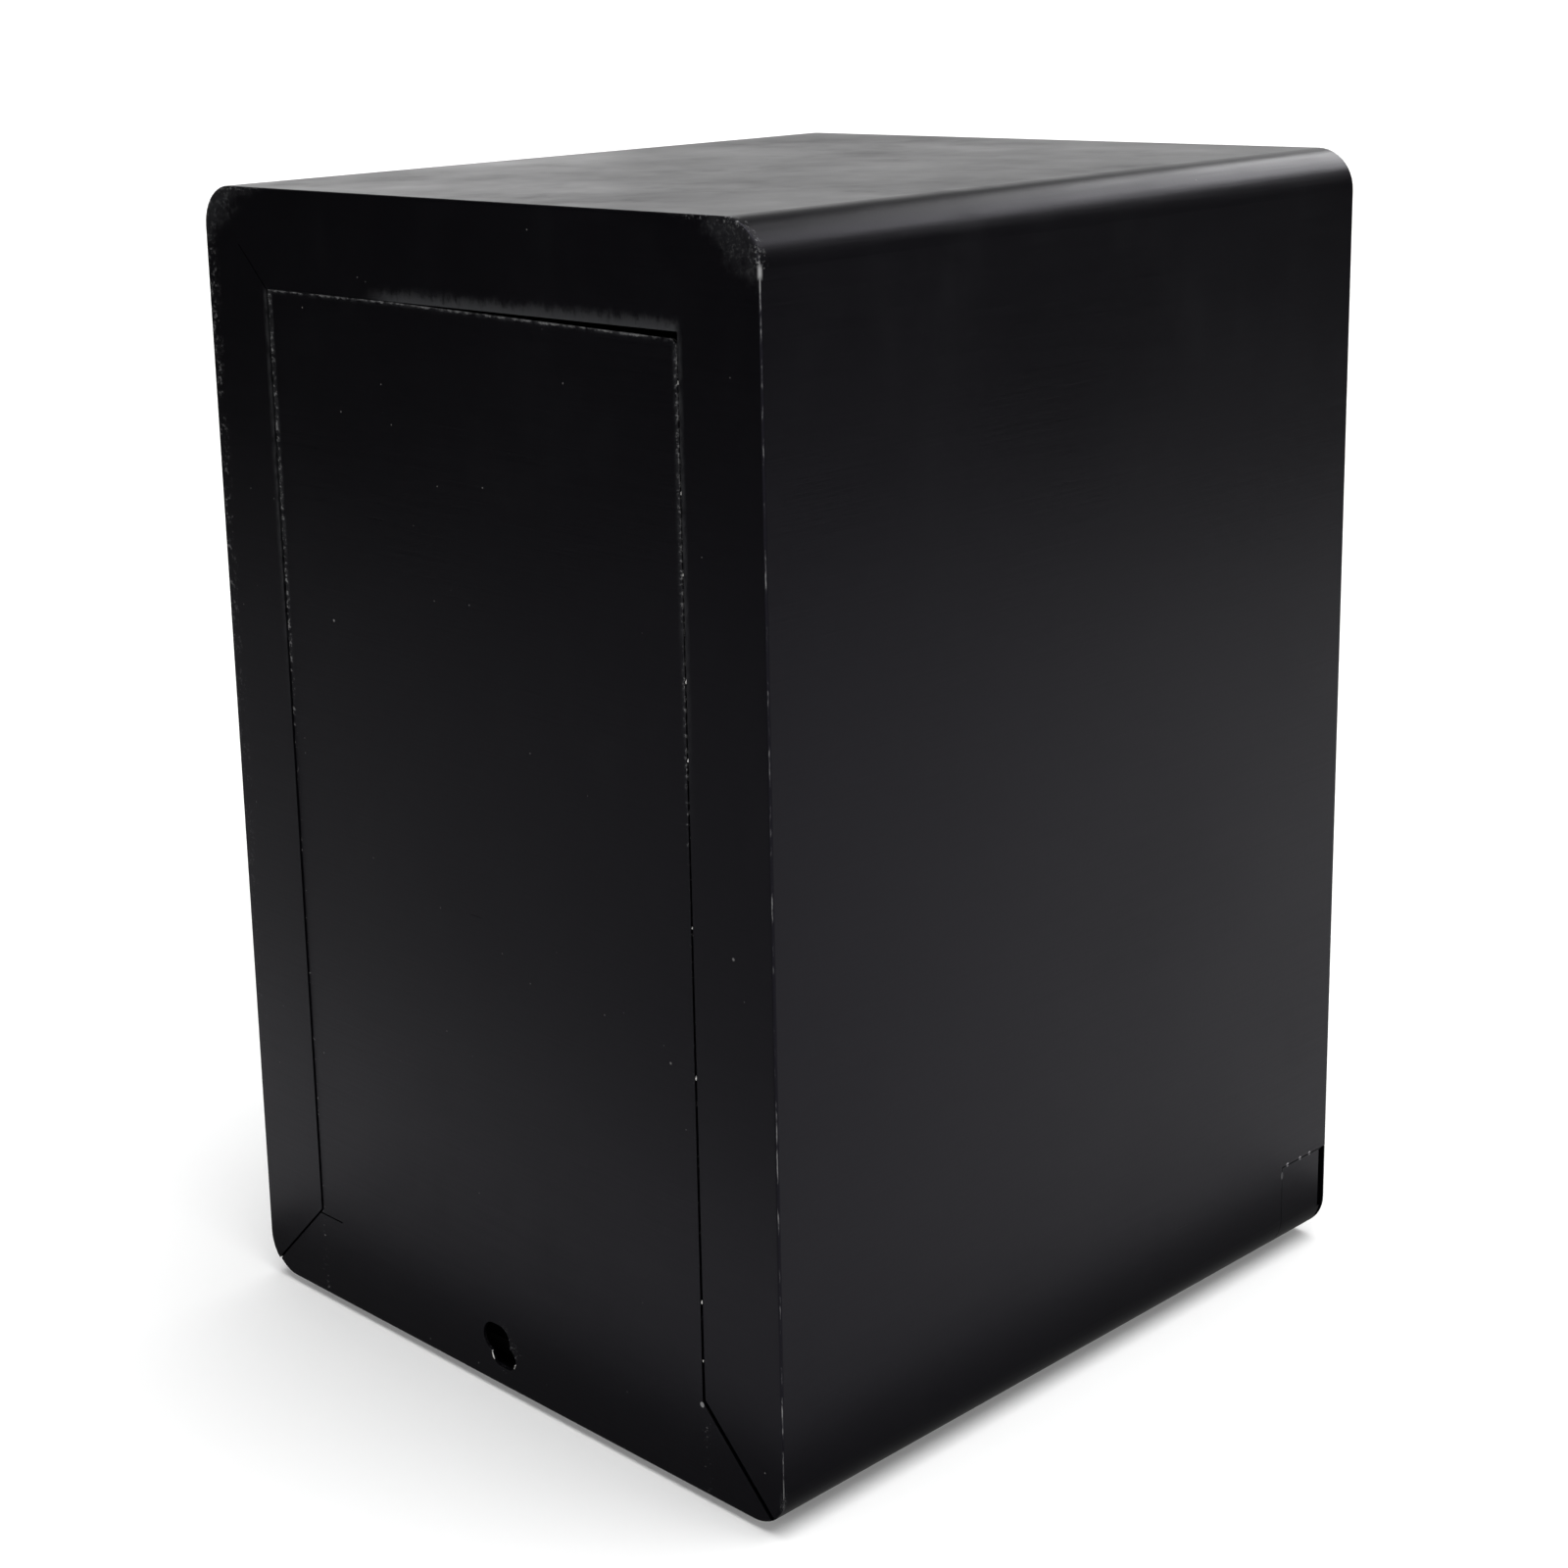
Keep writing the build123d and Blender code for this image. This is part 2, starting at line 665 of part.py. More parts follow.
# Chute: hangs from the fascia and slides each book down past the baffle.
slope = radians(chute_angle)
chute_start = (fascia_back + sheet / 2, slot_sill - chute_below_slot)
chute_end = (chute_start[0] + chute_length * cos(slope), chute_start[1] - chute_length * sin(slope))
chute_half_width = inner_half_width - panel_clearance
with BuildPart() as chute:
    folded_along_x(
        [
            (chute_start[0], chute_start[1] - chute_front_flange),
            chute_start,
            chute_end,
            (chute_end[0], chute_end[1] - chute_hem),
        ],
        -chute_half_width,
        chute_half_width,
    )
    rise = (chute_side_flange * sin(slope), chute_side_flange * cos(slope))
    side_start = (
        chute_start[0] + chute_side_start * cos(slope),
        chute_start[1] - chute_side_start * sin(slope),
    )
    for x in (-chute_half_width, chute_half_width - sheet):
        with BuildSketch(Plane.YZ.offset(x)):
            with BuildLine():
                Polyline(
                    side_start,
                    chute_end,
                    (chute_end[0] + rise[0], chute_end[1] + rise[1]),
                    (side_start[0] + rise[0], side_start[1] + rise[1]),
                    close=True,
                )
            make_face()
        extrude(amount=sheet)
keep(chute.part, "chute")

# Landing mat: grooved rubber on the base plate.
with BuildPart() as landing_mat:
    mat_front = front + mat_inset_front
    mat_back = back - mat_inset_rear
    mat_half_width = foot_x - stud_radius - nut_wall - mat_nut_gap
    mat_top = deck_z + soft_gap + mat_thickness
    block(-mat_half_width, mat_half_width, mat_front, mat_back, deck_z + soft_gap, mat_top)
    groove_count = int((mat_back - mat_front) // mat_groove_pitch)
    for groove in range(groove_count):
        groove_y = mat_front + (groove + 0.5) * (mat_back - mat_front) / groove_count
        block(-mat_half_width - 1, mat_half_width + 1,
              groove_y - mat_groove_width / 2, groove_y + mat_groove_width / 2,
              mat_top - mat_groove_depth, mat_top + 1, Mode.SUBTRACT)
keep(landing_mat.part, "landing_mat")

# Feet with their studs and nuts
with BuildPart() as feet:
    for x, y in foot_places:
        bar_z(foot_radius, 0, foot_height, x, y)
    chamfer(feet.faces().sort_by(Axis.Z)[:4].edges(), foot_chamfer)
    for x, y in foot_places:
        bar_z(stud_radius + stud_clearance, foot_skin, foot_height + 1, x, y, Mode.SUBTRACT)
keep(feet.part, "feet")

stud_top = deck_z + nut_height + stud_end
with BuildPart() as foot_studs:
    for x, y in foot_places:
        bar_z(stud_radius, foot_skin, stud_top, x, y)
keep(foot_studs.part, "foot_studs")

with BuildPart() as foot_nuts:
    with BuildSketch(Plane.XY.offset(deck_z)):
        with Locations(*foot_places):
            RegularPolygon(stud_radius + nut_wall, 6, major_radius=False)
            Circle(stud_radius + stud_clearance, mode=Mode.SUBTRACT)
    extrude(amount=nut_height)
keep(foot_nuts.part, "foot_nuts")

# Door: a shallow tray that closes the lower front.
with BuildPart() as door_panel:
    block(door_left, door_right, front, front + door_return, door_bottom, door_top)
    fillet(door_panel.faces().sort_by(Axis.Y)[0].edges(), fold_radius)
    block(door_left + sheet, door_right - sheet, front + sheet, front + door_return + 1,
          door_bottom + sheet, door_top - sheet, Mode.SUBTRACT)
    bar_y(lock_barrel_radius + lock_fit, front - 1, front + sheet + 1, lock_x, lock_z, Mode.SUBTRACT)
    for z in hinge_rivet_heights:
        rivet_hole(hinge_x + hinge_rivet_place, z, front - 1, front + sheet + 1)
keep(door_panel.part, "door_panel")

with BuildPart() as door_stiffener:
    land_line = front + sheet + sheet / 2
    crown_line = front + stiffener_depth + sheet / 2
    folded_along_z(
        [
            (-stiffener_width / 2, land_line),
            (-stiffener_crown / 2, land_line),
            (-stiffener_crown / 2, crown_line),
            (stiffener_crown / 2, crown_line),
            (stiffener_crown / 2, land_line),
            (stiffener_width / 2, land_line),
        ],
        door_bottom + stiffener_end_gap,
        door_top - stiffener_end_gap,
    )
keep(door_stiffener.part, "door_stiffener")

# Rubber bumpers on the sill stop the door.
with BuildPart() as door_bumpers:
    for side in (-1, 1):
        x = side * (opening_half_width - bumper_inset)
        block(x - bumper_size / 2, x + bumper_size / 2, front + door_return + soft_gap,
              front + sill_ledge - sheet, sill_top, sill_top + sill_stop_height)
keep(door_bumpers.part, "door_bumpers")

# Hinges: the body leaf carries the two outer knuckles and the door leaf the middle one.
knuckle_third = hinge_height / 3
own_bore = hinge_pin_radius + hinge_pin_fit
door_bore = hinge_pin_radius + running_clearance
for place, z in hinges.items():
    low = z - hinge_height / 2
    high = z + hinge_height / 2
    middle_low = low + knuckle_third
    middle_high = high - knuckle_third
    with BuildPart() as body_leaf:
        block(hinge_x - hinge_leaf, hinge_x, leaf_face, front, low, high)
        bar_z(knuckle_radius + knuckle_gap, middle_low, middle_high, hinge_x, hinge_y, Mode.SUBTRACT)
        bar_z(knuckle_radius, low, middle_low, hinge_x, hinge_y)
        bar_z(knuckle_radius, middle_high, high, hinge_x, hinge_y)
        bar_z(own_bore, low - 1, high + 1, hinge_x, hinge_y, Mode.SUBTRACT)
        for side in (-1, 1):
            rivet_hole(hinge_x - hinge_rivet_place, z + side * hinge_rivet_spacing / 2, front - 2, front + 1)
    keep(body_leaf.part, f"hinge_leaf_body_{place}")
    with BuildPart() as door_leaf:
        block(hinge_x, hinge_x + hinge_leaf, leaf_face, front, low, high)
        for start, end in ((low - 1, middle_low + knuckle_gap), (middle_high - knuckle_gap, high + 1)):
            bar_z(knuckle_radius + knuckle_gap, start, end, hinge_x, hinge_y, Mode.SUBTRACT)
        bar_z(knuckle_radius, middle_low + knuckle_gap, middle_high - knuckle_gap, hinge_x, hinge_y)
        bar_z(door_bore, low - 1, high + 1, hinge_x, hinge_y, Mode.SUBTRACT)
        for side in (-1, 1):
            rivet_hole(hinge_x + hinge_rivet_place, z + side * hinge_rivet_spacing / 2, front - 2, front + 1)
    keep(door_leaf.part, f"hinge_leaf_door_{place}")
    with BuildPart() as hinge_pin:
        bar_z(hinge_pin_radius, low, high, hinge_x, hinge_y)
        bar_z(hinge_pin_radius + pin_head_lap, low - pin_head_height, low, hinge_x, hinge_y)
        bar_z(hinge_pin_radius + pin_head_lap, high, high + pin_head_height, hinge_x, hinge_y)
        ends = hinge_pin.edges().filter_by(GeomType.CIRCLE)
        fillet([ends.sort_by(Axis.Z)[0], ends.sort_by(Axis.Z)[-1]], pin_head_height / 2)
    keep(hinge_pin.part, f"hinge_pin_{place}")

for side, name in ((-1, "hinge_rivets_body"), (1, "hinge_rivets_door")):
    with BuildPart() as hinge_rivets:
        for z in hinge_rivet_heights:
            rivet(hinge_x + side * hinge_rivet_place, z, leaf_face, hinge_leaf_sheet + sheet)
    keep(hinge_rivets.part, name)

# Cam lock: barrel and nut on the door, and a plug that turns the cam.
with BuildPart() as lock_barrel:
    bar_y(lock_barrel_radius, front, front + lock_length, lock_x, lock_z)
    bar_y(lock_barrel_radius + lock_flange_lap, lock_face, front, lock_x, lock_z)
    fillet(lock_barrel.faces().sort_by(Axis.Y)[0].edges(), lock_flange_round)
    bar_y(plug_radius + plug_clearance, lock_face - 1, front + lock_length + 1, lock_x, lock_z, Mode.SUBTRACT)
    bar_y(plug_radius + plug_head_lap + plug_clearance, lock_face - 1,
          lock_face + plug_head_depth + plug_clearance, lock_x, lock_z, Mode.SUBTRACT)
keep(lock_barrel.part, "lock_barrel")

with BuildPart() as lock_nut:
    with BuildSketch(upright(front + sheet)):
        with Locations((lock_x, lock_z)):
            RegularPolygon(lock_barrel_radius + lock_nut_wall, 6, major_radius=False)
            Circle(lock_barrel_radius + lock_fit, mode=Mode.SUBTRACT)
    extrude(amount=-lock_nut_height)
keep(lock_nut.part, "lock_nut")

with BuildPart() as lock_plug:
    bar_y(plug_radius, lock_face, front + lock_length, lock_x, lock_z)
    bar_y(plug_radius + plug_head_lap, lock_face, lock_face + plug_head_depth, lock_x, lock_z)
    block(lock_x - plug_tail_size / 2, lock_x + plug_tail_size / 2,
          front + lock_length, cam_front + cam_thickness,
          lock_z - plug_tail_size / 2, lock_z + plug_tail_size / 2)
    keyway_half_width = key_thickness / 2 + key_face_play
    keyway_half_height = key_blade_height / 2 + key_edge_play
    block(lock_x - keyway_half_width, lock_x + keyway_half_width,
          lock_face - 1, lock_face + key_blade_length + key_end_play,
          lock_z - keyway_half_height, lock_z + keyway_half_height, Mode.SUBTRACT)
    bar_y(cam_screw_radius + cam_fit, cam_front + cam_thickness - cam_screw_depth - 1,
          cam_front + cam_thickness + 1, lock_x, lock_z, Mode.SUBTRACT)
keep(lock_plug.part, "lock_plug")

with BuildPart() as lock_cam:
    with BuildSketch(upright(cam_front)):
        with Locations((lock_x, lock_z)):
            Circle(cam_width / 2)
        with Locations((lock_x, lock_z - (cam_reach - cam_width / 2) / 2)):
            Rectangle(cam_width, cam_reach - cam_width / 2)
        with Locations((lock_x, lock_z - cam_reach + cam_width / 2)):
            Circle(cam_width / 2)
        with Locations((lock_x, lock_z)):
            Rectangle(plug_tail_size + 2 * cam_fit, plug_tail_size + 2 * cam_fit, mode=Mode.SUBTRACT)
    extrude(amount=-cam_thickness)
keep(lock_cam.part, "lock_cam")

with BuildPart() as cam_screw:
    head_y = cam_front + cam_thickness
    bar_y(cam_screw_head, head_y, head_y + cam_screw_head_height, lock_x, lock_z)
    fillet(cam_screw.faces().sort_by(Axis.Y)[-1].edges(), cam_screw_head_height / 3)
    bar_y(cam_screw_radius, head_y - cam_screw_depth, head_y, lock_x, lock_z)
    slot_depth = cam_screw_head_height / 2
    block(lock_x - cam_screw_head, lock_x + cam_screw_head, head_y + slot_depth,
          head_y + cam_screw_head_height + 1, lock_z - 0.5, lock_z + 0.5, Mode.SUBTRACT)
keep(cam_screw.part, "cam_screw")

# Key: stands upright in the plug with its bow in front of the door.
bow_y = lock_face - key_neck - key_bow_radius
with BuildPart() as key:
    with BuildSketch(Plane.YZ.offset(lock_x - key_thickness / 2)):
        with Locations(((bow_y + lock_face + key_blade_length) / 2, lock_z)):
            Rectangle(lock_face + key_blade_length - bow_y, key_blade_height)
        with Locations((bow_y, lock_z)):
            Circle(key_bow_radius)
        with Locations((bow_y - key_bow_radius / 3, lock_z)):
            Circle(key_eye_radius, mode=Mode.SUBTRACT)
        for notch in range(key_notches):
            notch_y = lock_face + (notch + 1) * key_blade_length / (key_notches + 1)
            with Locations(Location((notch_y, lock_z - key_blade_height / 2), 45)):
                Rectangle(key_notch_size, key_notch_size, mode=Mode.SUBTRACT)
    extrude(amount=key_thickness)
keep(key.part, "key")

# Keeper: the folded catch behind the side flange that the cam turns in behind.
with BuildPart() as door_keeper:
    keeper_outer = inner_half_width - keeper_inset
    keeper_back = cam_front - keeper_gap - sheet / 2
    folded_along_z(
        [
            (keeper_outer - keeper_lip + sheet, fascia_front + sheet / 2),
            (keeper_outer, fascia_front + sheet / 2),
            (keeper_outer, keeper_back),
            (keeper_outer - keeper_lip, keeper_back),
        ],
        lock_z - keeper_height / 2,
        lock_z + keeper_height / 2,
    )
keep(door_keeper.part, "door_keeper")
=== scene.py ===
# %% [markdown]
# # A steel book drop box
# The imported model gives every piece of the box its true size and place, in metres. This file gives
# those pieces their finishes, adds the small marks that welding and drilling leave on such a box,
# and sets a plain studio round it. The frame is loaded first, because everything else reads its
# sizes.

# %% Load the frame
import json
import math
import random

import bmesh
import bpy
from mathutils import Matrix, Vector


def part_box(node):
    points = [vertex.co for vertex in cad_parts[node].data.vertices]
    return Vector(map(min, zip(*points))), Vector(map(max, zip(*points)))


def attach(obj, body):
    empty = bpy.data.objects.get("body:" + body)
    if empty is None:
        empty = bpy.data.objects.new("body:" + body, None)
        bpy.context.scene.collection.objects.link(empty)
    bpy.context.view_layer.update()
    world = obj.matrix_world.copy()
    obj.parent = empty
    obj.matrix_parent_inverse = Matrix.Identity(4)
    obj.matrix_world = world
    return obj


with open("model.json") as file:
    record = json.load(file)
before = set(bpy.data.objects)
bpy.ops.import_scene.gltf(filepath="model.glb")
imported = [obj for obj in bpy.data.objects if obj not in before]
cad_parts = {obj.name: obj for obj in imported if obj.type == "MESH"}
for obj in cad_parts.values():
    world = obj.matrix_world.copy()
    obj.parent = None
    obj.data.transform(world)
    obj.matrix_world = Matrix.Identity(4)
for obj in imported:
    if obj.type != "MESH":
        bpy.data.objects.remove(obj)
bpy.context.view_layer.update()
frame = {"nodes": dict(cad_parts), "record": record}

nodes = frame["nodes"]
body_low, body_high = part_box("body_wrap")
panel_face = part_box("rear_panel")[1].y

# %% [markdown]
# ## Sizes that the finish needs
# A folded box has a few lines that everything follows: its outer edges, the flange round its rear
# opening and the mitres at its corners. They are worked out here from the boxes of the pieces, so
# that wear, welds and burrs land on the metal if a size changes.

# %% Edges and flanges
MM = 0.001
half_width = body_high.x
front_y = body_low.y
back_y = body_high.y
floor_z = body_low.z
top_z = body_high.z
height = top_z - floor_z
corner_radius = 21 * MM
rear_flange = 50 * MM
seam = half_width - rear_flange
panel_top = top_z - rear_flange
mitre_foot = floor_z + rear_flange
sill_top = floor_z + 52 * MM
# The panel's top edge hangs lower towards its open seam.
panel_drop_start = 48 * MM
panel_drop_tight = 0.5 * MM
panel_drop_open = 3.4 * MM
# The anchor slot is two wide strokes. The burrs sit on the round ends of the lower one.
hole_height = 22 * MM
stroke_radius = 6.2 * MM
stroke_z = floor_z + 16.8 * MM
stroke_ends = (2.2 * MM, -3.8 * MM)
print("height", round(height, 4), "panel recess", round((back_y - panel_face) / MM, 2), "mm")

# %% [markdown]
# ## Shader sums
# A finish is built from noises and masks that are added, multiplied and compared. Written as nodes
# that is hard to read, so a small class wraps one socket and lets Python's own operators add the
# Math nodes. Every other node comes from one method, which sets the node up before it is linked.


# %% A socket that sums like a number
class Wire:
    """One output socket of a material, with the arithmetic that a finish needs."""

    def __init__(self, tree, socket):
        self.tree = tree
        self.socket = socket

    def node(self, kind, settings=None, sockets=None, output=0):
        """Adds a node, sets it up, fills or links its sockets and returns one output."""
        made = self.tree.nodes.new(kind)
        for key, value in (settings or {}).items():
            setattr(made, key, value)
        for key, value in (sockets or {}).items():
            if isinstance(value, Wire):
                self.tree.links.new(value.socket, made.inputs[key])
            else:
                made.inputs[key].default_value = value
        return Wire(self.tree, made.outputs[output])

    def math(self, operation, first, second=0.0):
        return self.node("ShaderNodeMath", {"operation": operation}, {0: first, 1: second})

    def __add__(self, other):
        return self.math("ADD", self, other)

    __radd__ = __add__

    def __sub__(self, other):
        return self.math("SUBTRACT", self, other)

    def __rsub__(self, other):
        return self.math("SUBTRACT", other, self)

    def __mul__(self, other):
        return self.math("MULTIPLY", self, other)

    __rmul__ = __mul__

    def __gt__(self, other):
        return self.math("GREATER_THAN", self, other)

    def size(self):
        return self.math("ABSOLUTE", self)

    def at_least(self, other):
        return self.math("MAXIMUM", self, other)

    def at_most(self, other):
        return self.math("MINIMUM", self, other)

    def ramp(self, low, high):
        """0 at low and 1 at high, with soft ends; low may be the larger."""
        return self.node(
            "ShaderNodeMapRange",
            {"interpolation_type": "SMOOTHSTEP"},
            {"Value": self, "From Min": low, "From Max": high},
        )

    def ramp_line(self, start, end, at_start, at_end):
        """A straight line between two values, held level beyond both ends."""
        return self.node(
            "ShaderNodeMapRange",
            {},
            {"Value": self, "From Min": start, "From Max": end, "To Min": at_start, "To Max": at_end},
        )

    def stretched(self, stretch):
        return self.node("ShaderNodeVectorMath", {"operation": "MULTIPLY"}, {0: self, 1: stretch})

    def noise(self, scale, detail=3.0, rough=0.5):
        return self.node(
            "ShaderNodeTexNoise", {}, {"Vector": self, "Scale": scale, "Detail": detail, "Roughness": rough}
        )

    def mix(self, first, second):
        """A colour between two, with this socket as the factor."""
        return self.node(
            "ShaderNodeMix", {"data_type": "RGBA"}, {"Factor": self, 6: first, 7: second}, 2
        )


def grey(level, warmth=0.0):
    return (level * (1 + warmth), level, level * (1 - warmth), 1.0)


def tinted(level):
    """The faint violet cast of a stoved black."""
    return (level, level * 0.92, level * 1.22, 1.0)


def start_finish(name):
    """A new material with one Principled shader, its object coordinates and the shader itself."""
    material = bpy.data.materials.new(name)
    material.use_nodes = True
    tree = material.node_tree
    shader = tree.nodes["Principled BSDF"]
    coordinates = tree.nodes.new("ShaderNodeTexCoord")
    return material, Wire(tree, coordinates.outputs["Object"]), shader


def feed(shader, socket, wire):
    wire.tree.links.new(wire.socket, shader.inputs[socket])


def bump(height_wire, strength, distance):
    return height_wire.node(
        "ShaderNodeBump", {}, {"Strength": strength, "Distance": distance, "Height": height_wire}, "Normal"
    )


def axes(place):
    return [place.node("ShaderNodeSeparateXYZ", {}, {0: place}, axis) for axis in range(3)]


print("shader sums ready")

# %% [markdown]
# ## Black enamel over brushed steel
# The box is sheet steel that was linished along its length, sprayed black and stoved. Up close the
# paint keeps the linishing as faint level streaks, has a fine orange peel, carries dust, and is
# rubbed through to bright metal on its corners. One function makes the paint; the wear is a mask
# that each piece hands in, because only outside corners get knocked. The same masks also carry a
# painted highlight: a lighter grey band beside the rear seams.


# %% The enamel
def dust_specks(place, scale, share, size):
    """Small round specks in a share of the cells of a cellular pattern."""
    cells = {"Vector": place, "Scale": scale, "Randomness": 1.0}
    distance = place.node("ShaderNodeTexVoronoi", {}, cells, "Distance")
    chance = place.node("ShaderNodeTexVoronoi", {}, cells, "Color")
    lucky = chance.node("ShaderNodeSeparateColor", {}, {0: chance}, 0) > 1 - share
    return distance.ramp(size, size * 0.5) * lucky


def enamel(name, level=0.0016, roughness=0.34, marks=None, streak=1.0, dust=1.0, gloss=0.112):
    """Black stoved enamel. marks gives a bare metal mask and a mask of dry, dusty overspray and painted
    highlight.
    """
    material, place, shader = start_finish(name)
    streaks = place.stretched((14, 14, 620)).noise(1.0, 4, 0.65)
    fine_streaks = place.stretched((60, 60, 2600)).noise(1.0, 2, 0.6)
    peel = place.noise(520, 2)
    cloud = place.noise(5.5, 4, 0.55)
    smear = place.stretched((1, 1, 0.45)).noise(34, 5, 0.62)
    specks = dust_specks(place, 150, 0.10, 0.075) * dust
    lint = dust_specks(place, 46, 0.07, 0.045) * dust
    film = smear.ramp(0.45, 0.8) * cloud.ramp(0.35, 0.7)
    colour = cloud.mix(tinted(level * 0.8), tinted(level * 1.25))
    colour = (film * 0.35 * dust).mix(colour, grey(level * 3.0, -0.04))
    colour = ((specks + lint) * 0.6).mix(colour, grey(0.16, 0.02))
    dull = roughness + (cloud - 0.5) * 0.22 + (streaks - 0.5) * 0.16 * streak
    dull = dull + film * 0.07 + (specks + lint) * 0.3
    relief = streaks * 0.55 * streak + fine_streaks * 0.25 * streak + peel * 0.22
    if marks is not None:
        bare, dry_paint_and_highlight = marks(place)
        # The second mask lightens the paint to grey: dry overspray, and beside the rear seams a painted
        # highlight.
        colour = dry_paint_and_highlight.mix(colour, grey(0.034, -0.03))
        colour = bare.mix(colour, grey(0.30, 0.0))
        dull = (dull * (1 - bare) + bare * 0.42).at_least(dry_paint_and_highlight * 0.7)
        relief = relief + dry_paint_and_highlight * place.noise(900, 3, 0.7) * 1.6 - bare * 0.4
        feed(shader, "Metallic", bare)
    feed(shader, "Base Color", colour)
    feed(shader, "Roughness", dull)
    feed(shader, "Normal", bump(relief, 0.22, 0.00035))
    shader.inputs["Specular IOR Level"].default_value = gloss
    shader.inputs["Specular Tint"].default_value = (0.80, 0.765, 1.0, 1.0)
    return material


print("enamel ready")

# %% [markdown]
# ### Where the paint is thin, rough or rubbed through, and a painted highlight
# Handling takes paint off the outer folds first: the upright rear corners, and most of all their
# ends. The two upper rear corners were welded and ground, so the paint is rough and chipped round
# them. Beside the open seams there is bright metal where the shears left a burr, and in their upper
# half a soft lighter grey band is painted in, a painted highlight of the flange edges catching the
# light, drawn as rough grey paint. Distances to those lines come from the object's own
# coordinates, and noises break them up so that they read as chips and not as stripes.


# %% Masks for bare metal and dry paint
def spot(across, up, middle_across, middle_up, radius):
    """A round spot with a soft rim."""
    off_across = across - middle_across
    off_up = up - middle_up
    return (off_across * off_across + off_up * off_up).ramp(radius * radius, 0.5 * radius * radius)


def ear_spots(x, y, z):
    """The tack welds, ground bright, round the ears of the front sill."""
    on_side = x.size().ramp(half_width - 2 * MM, half_width - 1 * MM)
    squash = 0.4
    bead_z = (sill_top - 5 * MM) * squash
    dots = spot(y, z * squash, front_y + 42 * MM, bead_z, 1.0 * MM) * 0.3
    for from_front, radius in ((37, 1.3), (25, 1.2), (16, 1.2)):
        dots = dots.at_least(spot(y, z, front_y + from_front * MM, sill_top, radius * MM))
    return on_side * dots


def sill_marks(place):
    """The same tack welds where they spread onto the sill, and no dry paint."""
    x, y, z = axes(place)
    return ear_spots(x, y, z) * 0.85, x * 0.0


def fold_chips(x, z, off_side, off_back, fine, chips):
    """Bright chips along the upright rear folds, densest towards their ends."""
    from_middle = (z - (floor_z + height / 2)).size()
    toward_ends = from_middle.ramp(height * 0.40, height * 0.49)
    off_fold = off_side.at_least(off_back)
    fold_line = off_fold.ramp(0.78 * MM, 0.45 * MM) * (chips + toward_ends * 0.20).ramp(0.50, 0.72)
    lower_tip = off_fold.ramp(3.0 * MM, 0.8 * MM) * (z - floor_z).ramp(24 * MM, 5 * MM)
    below_corner = (top_z - z - 22 * MM).size().ramp(4 * MM, 1 * MM)
    upper_tip = off_fold.ramp(2.0 * MM, 0.7 * MM) * below_corner * x.ramp(0.0, -half_width)
    tips = lower_tip * fine.ramp(0.5, 0.6) * 0.8
    return (fold_line * 0.58 + tips).at_least(upper_tip * 0.8)


def corner_distance(x, z):
    """The two distances into a rounded upper corner, and the radius that they make."""
    corner_x = (x.size() - (half_width - corner_radius)).at_least(0.0)
    corner_z = (z - (top_z - corner_radius)).at_least(0.0)
    reach = corner_x.node("ShaderNodeCombineXYZ", {}, {0: corner_x, 2: corner_z})
    radius = reach.node("ShaderNodeVectorMath", {"operation": "LENGTH"}, {0: reach}, "Value")
    return corner_x, corner_z, radius


def corner_welds(place, x, z, off_side, off_back, chips):
    """Ground welds at the upper rear corners, with chips on their rims, and specks down one fold."""
    corner_x, corner_z, radius = corner_distance(x, z)
    on_back = off_back.ramp(1.6 * MM, 0.6 * MM)
    near_back = off_back.ramp(6 * MM, 2 * MM)
    round_corner = (corner_x * corner_z).ramp(0.0, 12 * MM * MM) * near_back
    rim = radius.ramp(corner_radius - 3.4 * MM, corner_radius - 0.6 * MM) * round_corner
    into_corner = off_side * 0.75 + (top_z - z)
    ragged = place.noise(90, 5, 0.7)
    patch = (into_corner.ramp(52 * MM, 12 * MM) * 0.60 + ragged).ramp(0.70, 1.15) * on_back
    blotch = place.noise(120, 4, 0.7).ramp(0.44, 0.60)
    coarse = place.noise(520, 4, 0.72)
    top_edge = (top_z - z).ramp(2.6 * MM, 0.8 * MM) * into_corner.ramp(46 * MM, 22 * MM) * near_back
    chipped = (rim * 0.66).at_least(top_edge * 0.4).at_least(patch * 0.08)
    worn = (coarse + chips * 0.3 - 0.15).ramp(0.52, 0.64)
    weld_chips = chipped * worn * (blotch * 0.6 + 0.4)
    far_fold = x.ramp(half_width - 12 * MM, half_width - 2 * MM) * on_back * z.ramp(floor_z, top_z)
    far_specks = far_fold * coarse.ramp(0.52, 0.62) * blotch
    return weld_chips.at_least(far_specks * 0.35), patch * (coarse * 0.30 + 0.10)


def opening_haze_and_seam_highlight(place, x, z, off_back):
    """Dry grey spray along the top of the rear opening; a painted highlight down the upper half of its sides.
    """
    on_back = off_back.ramp(1.6 * MM, 0.6 * MM)
    smear = place.stretched((1, 1, 0.5)).noise(220, 5, 0.72)
    over_top = z - panel_top
    off_top_edge = over_top.ramp(9 * MM, 0.0) * over_top.ramp(-2 * MM, -0.5 * MM)
    along_top = x.ramp(72 * MM, 40 * MM) * x.ramp(-seam - 3 * MM, -seam + 3 * MM)
    crest_haze = off_top_edge * along_top * (smear + off_top_edge * 0.3).ramp(0.46, 0.78) * on_back
    # The lighter grey band beside the seams is a painted highlight of the flange edges catching the light.
    beside_seam = (x.size() - seam).size().ramp(3.6 * MM, 0.6 * MM) * on_back
    seam_highlight = beside_seam * z.ramp(floor_z + height * 0.50, floor_z + height * 0.74)
    seam_highlight = seam_highlight * z.ramp(panel_top + 2 * MM, panel_top - 4 * MM) * smear.ramp(0.30, 0.62)
    return (crest_haze * 0.75).at_least(seam_highlight * 0.40)


